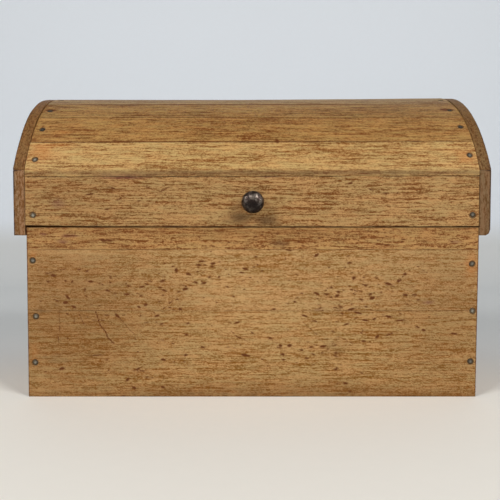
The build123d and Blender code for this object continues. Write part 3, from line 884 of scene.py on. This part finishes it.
def sawn_to_arch(grid):
    """Takes a board that stands between the springing and the crown down to the arch, as it was planed: each
    point's height above the springing is scaled by the arch's height there."""
    x, y, z = grid[..., 0], grid[..., 1], grid[..., 2]
    radius = lip_radius + between(np.arccos(np.clip(-y / lip_radius, -1, 1)), x, lip_off_circle)
    arch = arch_z + np.sqrt(np.maximum(radius**2 - y**2, 0.0)) - lip_spring
    full, thinnest = lip_crown - lip_spring, 0.0015
    near_top = (z - lip_spring) / full
    return np.stack([x, y, lip_spring + near_top * np.maximum(arch, thinnest)], axis=-1)


def worn_corner(grid):
    """Rounds off the lower outer corner of the right lip along its whole length."""
    x, y, z = grid[..., 0], grid[..., 1], grid[..., 2]
    reach, wear = 0.006, 0.0022
    near = np.clip(1 - (z - lip_low) / reach, 0, 1) * np.clip(1 - (lip_outer - x) / reach, 0, 1)
    return np.stack([x - wear * near, y, z + wear * near], axis=-1)


lip_colours = {"left": {"bottom": paint(141, 103, 65), "top": paint(117, 78, 35)},
               "right": {"bottom": paint(115, 85, 51), "top": paint(110, 76, 36)}}
lip_grime = {"left": 1.6, "right": 1.3}
for side, sign in (("left", -1), ("right", 1)):
    lip_nails = crowns(f"{side}_lip_nails", reach_along(0, sign))
    outer, inner = sign * lip_outer, sign * lid_half
    for level, low_z, high_z in (("bottom", lip_low, lip_spring), ("top", lip_spring, lip_crown)):
        name = f"{side}_lip_{level}"
        seed = 80 + 2 * (side == "left") + (level == "top")
        face, back = upright(outer, inner, low_z, high_z)
        shape = sawn_to_arch if level == "top" else worn_corner if side == "right" else None
        board = plank(name + "_oak", face, back, (-lip_depth, lip_depth), lip_nails, 0.008, seed=seed,
                      along="y", shape=shape)
        grain = oak(name + "_oak", lip_colours[side][level], standing_end, seed, grime=lip_grime[side])
        finish_piece(board, "lid", "oak_lip", grain, name)


# Every board is held by round-headed iron nails, hammered just below the wood. Each head is a shallow dome
# that the hammer has dented and the years have blackened round its rim.
nail_radius, nail_rim, nail_back, nail_shank, nail_end = 0.0039, 0.0005, 0.0013, 0.0014, 0.034


def nail_body(head, axis, rng):
    """A nail: a profile of radius and depth turned about its axis. The head is a low dome, drawn in by
    waves of two and four rounds a turn into an uneven square, tilted, and dented by exp of minus the square
    of the distance from the blow."""
    spread = np.sin(np.linspace(0.12, pi / 2, 8))
    fillet, point_length, point_radius, rolled_rim, drawn_in = 0.0003, 0.005, 0.0003, 0.0004, 0.05
    round_within = 0.002
    radius = np.concatenate([spread * nail_radius, [nail_radius, nail_radius * 0.94],
                             [nail_shank, nail_shank, point_radius]])
    depth = np.concatenate([nail_rim * spread**2 + rolled_rim * spread**8, [nail_back * 0.8, nail_back],
                            [nail_back + fillet, nail_end - point_length, nail_end]])
    turn = np.linspace(0, 2 * pi, 28, endpoint=False)
    outline = 1 - drawn_in * (1 + np.sin(2 * turn + rng.uniform(0, 6)))
    outline = outline - drawn_in * (1 + np.cos(4 * turn + rng.uniform(0, 6)))
    r = radius[:, None] * np.where(radius[:, None] > round_within, outline, 1.0)
    a, b = r * np.cos(turn), r * np.sin(turn)
    off_middle, dent_depth, dent_radius, lean_turns = 0.0016, 0.0003, 0.0015, 4000
    blow = rng.uniform(-off_middle, off_middle, 2)
    on_head = (depth < nail_back * 0.9)[:, None]
    dent = dent_depth * np.exp(-((a - blow[0]) ** 2 + (b - blow[1]) ** 2) / dent_radius**2)
    tilt = rng.uniform(0.0, 0.04) * (a * cos(blow[0] * lean_turns) + nail_radius)
    d = depth[:, None] + on_head * (dent + tilt)
    side = unit(np.cross(axis, [0.3, 0.5, 0.81]))
    other = np.cross(axis, side)
    grid = head + a[..., None] * side + b[..., None] * other - d[..., None] * axis
    rim = np.broadcast_to(np.minimum(radius / nail_radius, 1.0)[:, None], grid.shape[:2])
    return grid, rim


def make_iron(name, bright, dull, black, metallic=0.75):
    """Old iron: worn bright in the middle of a head, dull and then black towards its rim, with black in the
    pits. The rim layer is 0 in the middle of a head and 1 at its rim, and the dull layer goes up to 1 on
    heads that no hand has rubbed."""
    material, tree, shader, place = new_material(name)
    rim = put(tree, "Attribute", out="Fac", attribute_name="rim")
    speckle = noise(tree, place, (900.0, 900.0, 900.0), 3.0, 0.6)
    patch = noise(tree, place, (160.0, 160.0, 160.0), 2.0)
    worn = sums(tree, "MULTIPLY_ADD", centred(tree, patch), 0.9, rim)
    colour = blended(tree, ramp(tree, worn, 0.14, 0.54), bright, dull)
    colour = blended(tree, ramp(tree, rim, 0.58, 0.86), colour, black)
    unrubbed = put(tree, "Attribute", out="Fac", attribute_name="dull")
    colour = blended(tree, sums(tree, "MULTIPLY", unrubbed, 0.85), colour, paint(34, 27, 20))
    colour = blended(tree, ramp(tree, speckle, 0.56, 0.7), colour, black)
    rough = sums(tree, "MULTIPLY_ADD", unrubbed, 0.25, sums(tree, "MULTIPLY_ADD", speckle, 0.35, 0.32))
    coat(tree, shader, colour, rough, sums(tree, "ADD", speckle, patch), 0.6, 0.0002)
    shader.inputs["Metallic"].default_value = metallic
    return material


nail_iron = make_iron("nail_iron", paint(146, 142, 130), paint(104, 91, 68), paint(70, 56, 38), 0.3)
nail_groups = {"base_front_nails": ("base", carried(front_nails, leaning)),
               "base_back_nails": ("base", back_nails),
               "bottom_nails": ("base", crowns("bottom_nails", reach_along(2, -1))),
               "lid_front_nails": ("lid", carried(lid_front_nails, planed)),
               "lid_back_nails": ("lid", carried(lid_back_nails, planed)),
               "left_lip_nails": ("lid", crowns("left_lip_nails", reach_along(0, -1))),
               "right_lip_nails": ("lid", crowns("right_lip_nails", reach_along(0, 1)))}
for number, (name, (body, nails)) in enumerate(nail_groups.items()):
    rng = np.random.default_rng(100 + number)
    made = [nail_body(head, axis, rng) for head, axis in nails]
    rims = np.concatenate([rim.ravel() for grid, rim in made])
    dull = np.concatenate([np.full(rim.size, 1.0 if axis[2] > 0.65 else rng.uniform(0.0, 0.7))
                           for (grid, rim), (head, axis) in zip(made, nails)])
    piece = skin(name + "_hammered", [grid for grid, rim in made], {"rim": rims, "dull": dull})
    finish_piece(piece, body, "nail_iron", nail_iron, name)


# Two butt hinges join the lid to the back: leaves of sheet iron rolled round a pin, with slotted steel
# screws.
hinge_iron = make_iron("hinge_iron", paint(120, 112, 104), paint(84, 78, 72), paint(36, 32, 30))
screw_steel = make_iron("screw_steel", paint(190, 184, 174), paint(140, 134, 126), paint(60, 56, 52), 0.9)
for side in ("left", "right"):
    for part in ("hinge_base_leaf", "hinge_lid_leaf", "hinge_pin"):
        dress(f"{side}_{part}", hinge_iron)
    for part in ("hinge_base_screws", "hinge_lid_screws"):
        dress(f"{side}_{part}", screw_steel)
for name in ("knob_shank", "knob_washer", "knob_nut"):
    dress(name, screw_steel)


# The knob is turned and then hammered all over: a foot, a narrow neck and a ball, nearly black with age and
# with painted shade darkening its lower half.
knob_low, knob_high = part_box("knob")
knob_x, knob_z = (knob_low.x + knob_high.x) / 2, (knob_low.z + knob_high.z) / 2
knob_radius, knob_reach = (knob_high.x - knob_low.x) / 2, front_face - knob_low.y
ball_radius, neck_end = 0.0135, 0.0065


def knob_profile():
    """Radius and height out from the board: a foot, a hollow neck, then a quarter ellipse and a fuller
    curve that meet where the ball is widest. On the fuller curve the two shares, each to the power of
    fullness, add up to one."""
    foot_radius, foot_height, neck_radius, neck_height, widest = 0.0085, 0.0016, 0.0058, 0.006, 0.014
    t = np.linspace(0, pi / 2, 9)
    foot = [[0.003, 0.0], [foot_radius, 0.0], [foot_radius, foot_height]]
    hollow = np.stack([neck_radius + (foot_radius - neck_radius) * (1 - np.sin(t)),
                       neck_height - (neck_height - foot_height) * np.cos(t)], 1)
    under = np.stack([neck_radius + (knob_radius - neck_radius) * np.sin(t),
                      widest - (widest - neck_height) * np.cos(t)], 1)
    t = np.linspace(0, pi / 2, 26)[:-1]
    fullness = 2.6
    front = np.stack([knob_radius * np.cos(t) ** (2 / fullness),
                      widest + (knob_reach - widest) * np.sin(t) ** (2 / fullness)], 1)
    return np.concatenate([foot, hollow[1:], under[1:], front[1:]])


profile = knob_profile()
turn = np.linspace(0, 2 * pi, 96, endpoint=False)
out = np.stack([profile[:, :1] * np.cos(turn), np.broadcast_to(-profile[:, 1:], (len(profile), len(turn))),
                profile[:, :1] * np.sin(turn)], axis=-1)
rng = np.random.default_rng(7)
blow_count, blow_depth, blow_radius, deepest = 90, 0.00035, 0.0022, 0.0009
ball_middle = np.array([0, -ball_radius, 0])
blows = rng.normal(size=(blow_count, 3))
blows = ball_middle + ball_radius * blows / np.linalg.norm(blows, axis=1, keepdims=True)
gaps = np.linalg.norm(out[:, :, None] - blows, axis=-1)
dents = (blow_depth * np.exp(-((gaps / blow_radius) ** 2))).sum(-1)
inward = ball_middle - out
inward = inward / np.linalg.norm(inward, axis=-1, keepdims=True)
on_ball = (profile[:, 1] > neck_end)[:, None, None]
out = out + np.where(on_ball, inward * np.minimum(dents, deepest)[..., None], 0.0)
knob = skin("knob_hammered", [out + np.array([knob_x, front_face, knob_z])])
material, tree, shader, place = new_material("knob_metal")
speckle = noise(tree, place, (520.0, 520.0, 520.0), 3.0, 0.65)
patch = noise(tree, place, (150.0, 150.0, 150.0), 3.0)
colour = blended(tree, ramp(tree, patch, 0.40, 0.62), paint(60, 48, 43), paint(134, 122, 112))
colour = blended(tree, ramp(tree, speckle, 0.50, 0.68), colour, paint(36, 30, 28))
height_there = put(tree, "SeparateXYZ", [place], out=2)
# Painted shade: below its middle the knob is blended towards black, as the side turned from the lamps.
below = ramp(tree, height_there, knob_z - 0.005, knob_z + 0.004, 0.72, 0.0)
colour = blended(tree, below, colour, paint(24, 19, 18))
coat(tree, shader, colour, sums(tree, "MULTIPLY_ADD", speckle, 0.35, 0.22), speckle, 0.7, 0.0005)
shader.inputs["Metallic"].default_value = 0.85
finish_piece(knob, "lid", "knob_metal", material, "knob")


# The setting: a pale table that curves up into a backdrop, two wide soft lamps and the camera.
sweep_radius, sweep_start, table_front, table_half, backdrop_top = 0.5, 1.2, -4.0, 5.0, 5.0
turn = np.linspace(0, pi / 2, 24)
sweep = np.stack([sweep_start + sweep_radius * np.sin(turn), sweep_radius * (1 - np.cos(turn))], 1)
path = np.concatenate([[[table_front, 0.0]], sweep, [[sweep_start + sweep_radius, backdrop_top]]])
grid = np.stack([np.stack([np.full(len(path), x), path[:, 0], path[:, 1]], 1)
                 for x in (-table_half, table_half)])
table_mesh = bpy.data.meshes.new("table")
count = len(path)
faces = [(k, count + k, count + k + 1, k + 1) for k in range(count - 1)]
table_mesh.from_pydata(grid.reshape(-1, 3), [], faces)
table_mesh.shade_smooth()
table = placed("table", table_mesh)
material, tree, shader, place = new_material("table")
depth_there = put(tree, "SeparateXYZ", [place], out=1)
cloth = noise(tree, place, (60.0, 60.0, 60.0), 2.0)
height_there = put(tree, "SeparateXYZ", [place], out=2)
# Painted shade: from the chest's front backwards the table turns a darker grey, up to the foot of the sweep,
# standing for the chest's shadow and the light falling off behind it.
colour = blended(tree, ramp(tree, depth_there, -0.2, 0.1), paint(242, 238, 229), paint(226, 227, 225))
colour = blended(tree, ramp(tree, height_there, 0.14, 0.28), colour, paint(244, 249, 255))
colour = blended(tree, sums(tree, "MULTIPLY", cloth, 0.04), colour, paint(190, 186, 178))
fill(tree, shader, {"Base Color": colour, "Roughness": 0.8, "Specular IOR Level": 0.1})
table.data.materials.append(material)


def lamp(name, place, aim, size, power):
    """A soft square lamp that faces a point."""
    data = bpy.data.lights.new(name, "AREA")
    data.size = size
    data.energy = power
    lit = placed(name, data)
    lit.location = place
    way = np.array(aim) - np.array(place)
    lit.rotation_euler = (atan2(np.hypot(way[0], way[1]), -way[2]), 0, atan2(-way[0], way[1]))


for side, sign in (("left", -1), ("right", 1)):
    lamp(f"{side}_lamp", place=(sign * 1.9, -2.0, 1.9), aim=(0, 0, 0.2), size=1.1, power=56.0)
world = bpy.data.worlds.new("room")
world.use_nodes = True
sky = world.node_tree.nodes["Background"]
fill(world.node_tree, sky, {"Color": (0.96, 0.98, 1.0, 1.0), "Strength": 0.10})
bpy.context.scene.world = world

camera_data = bpy.data.cameras.new("camera")
camera_data.lens = 43.2
camera_data.sensor_width = 36.0
camera = placed("camera", camera_data)
camera_fall = 2.22
camera.location = (-0.0028, -0.9976, 0.228)
camera.rotation_euler = (radians(90 - camera_fall), 0, 0)
bpy.context.scene.camera = camera
bpy.context.scene.view_settings.view_transform = "Standard"
